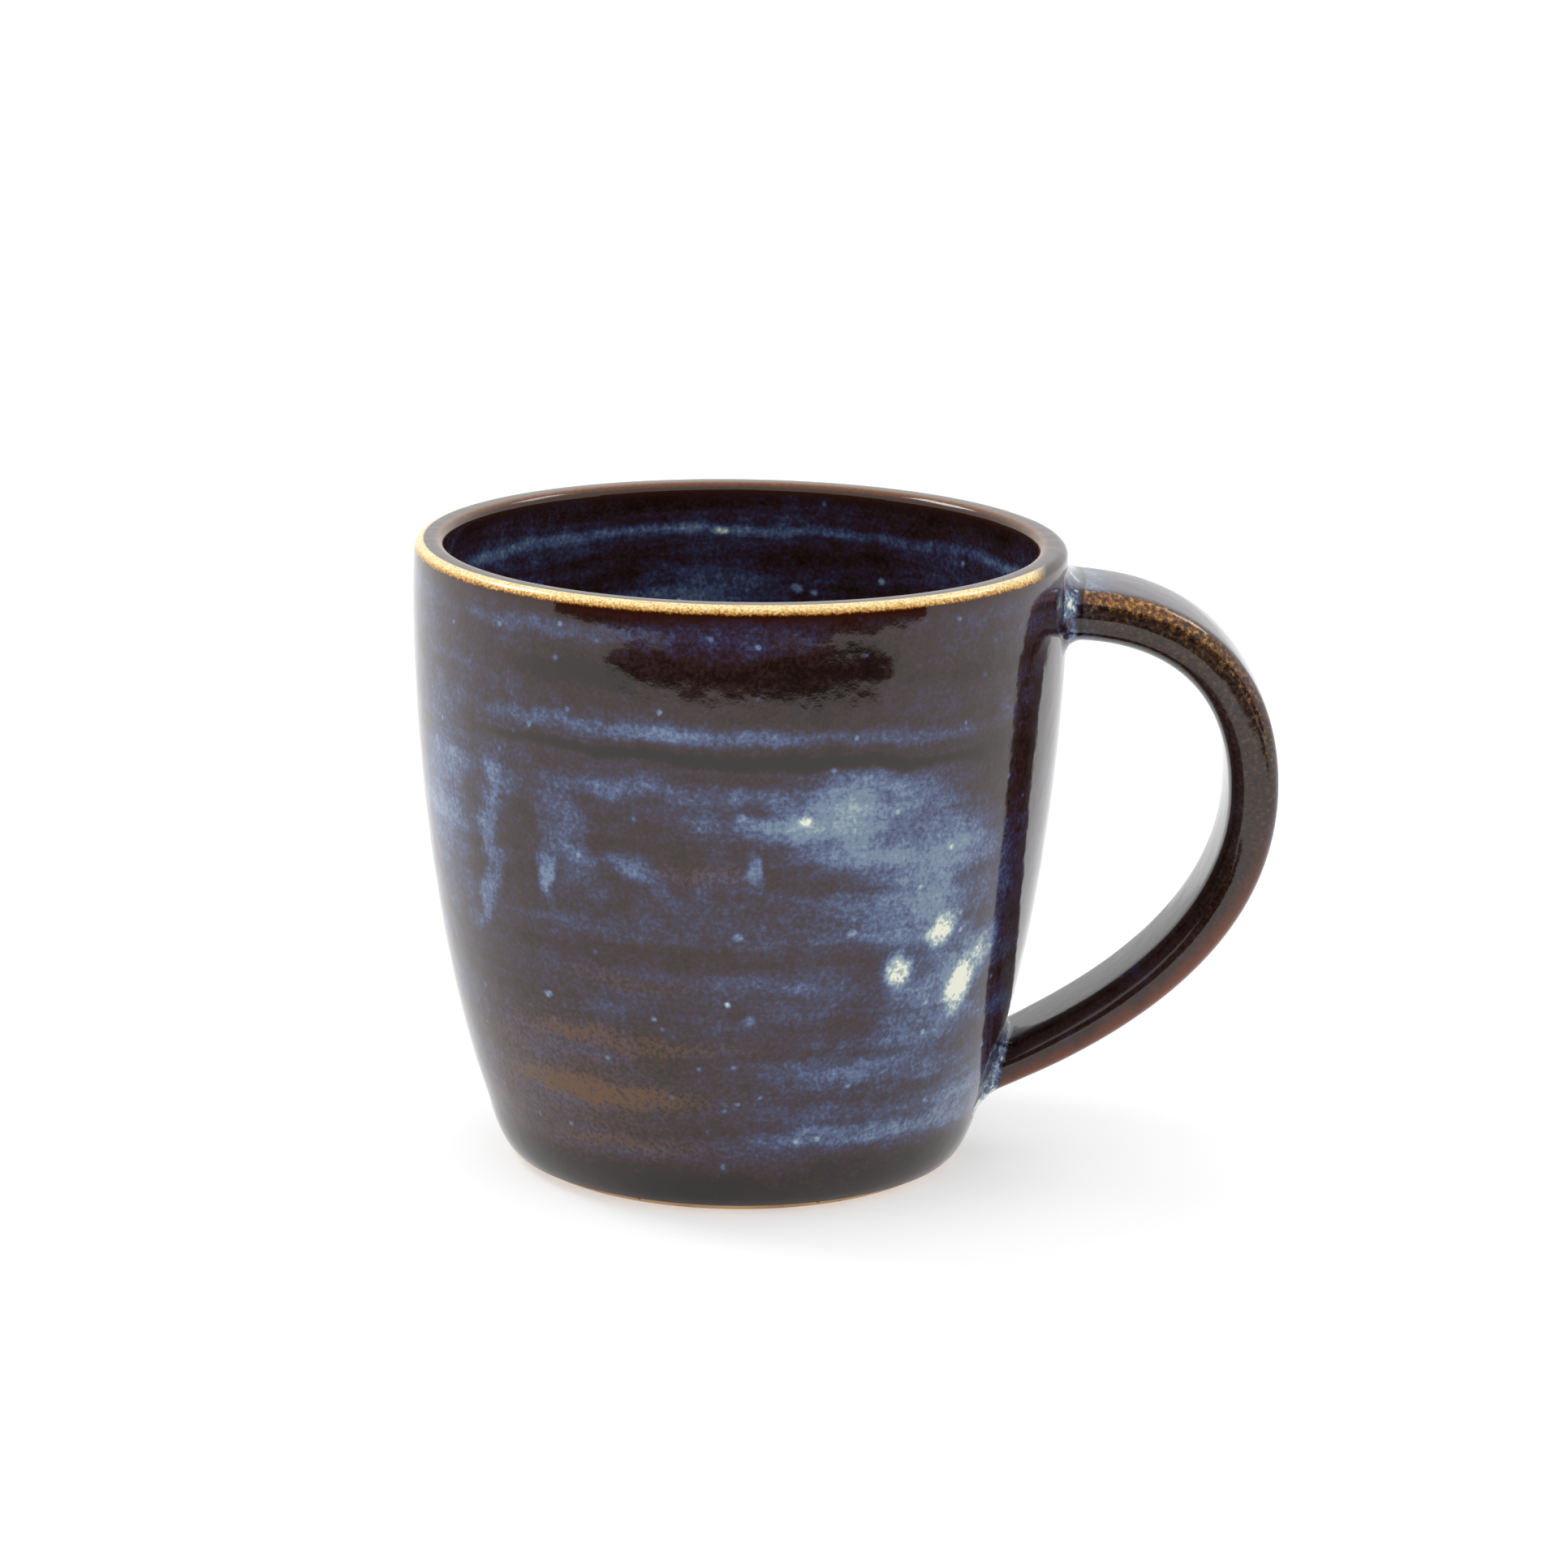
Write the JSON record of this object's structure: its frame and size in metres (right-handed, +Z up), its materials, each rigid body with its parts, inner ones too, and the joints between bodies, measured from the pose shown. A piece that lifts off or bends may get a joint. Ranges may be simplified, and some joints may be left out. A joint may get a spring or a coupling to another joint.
{
  "type": "ceramic mug",
  "caption": "Rounded ceramic mug with a flat foot, a rounded lip and a strap handle, for holding and drinking hot drinks.",
  "frame": {"origin": "centre of the flat foot, on the cup's axis, in the plane that the mug stands on", "axes": "+Z up along the cup's axis, +X towards the handle, +Y completes the right-handed frame"},
  "size_m": [0.1181, 0.089, 0.086],
  "materials": {
    "bare_clay": "fired stoneware clay, unglazed, matte",
    "pooled_glaze": "slip under a thick pool of pale blue glaze, gloss",
    "outside_glaze": "reactive glaze, dark brown with blue streaks, gloss",
    "inside_glaze": "reactive glaze, dark blue and brown, gloss",
    "handle_glaze": "reactive glaze, dark brown that turns amber along the edges, gloss"
  },
  "bodies": {
    "root": {"clay_cup": "bare_clay", "clay_handle": "bare_clay", "slip_joint_upper": "pooled_glaze", "slip_joint_lower": "pooled_glaze", "glaze_outside": "outside_glaze", "glaze_inside": "inside_glaze", "glaze_handle": "handle_glaze"}
  },
  "joints": []
}
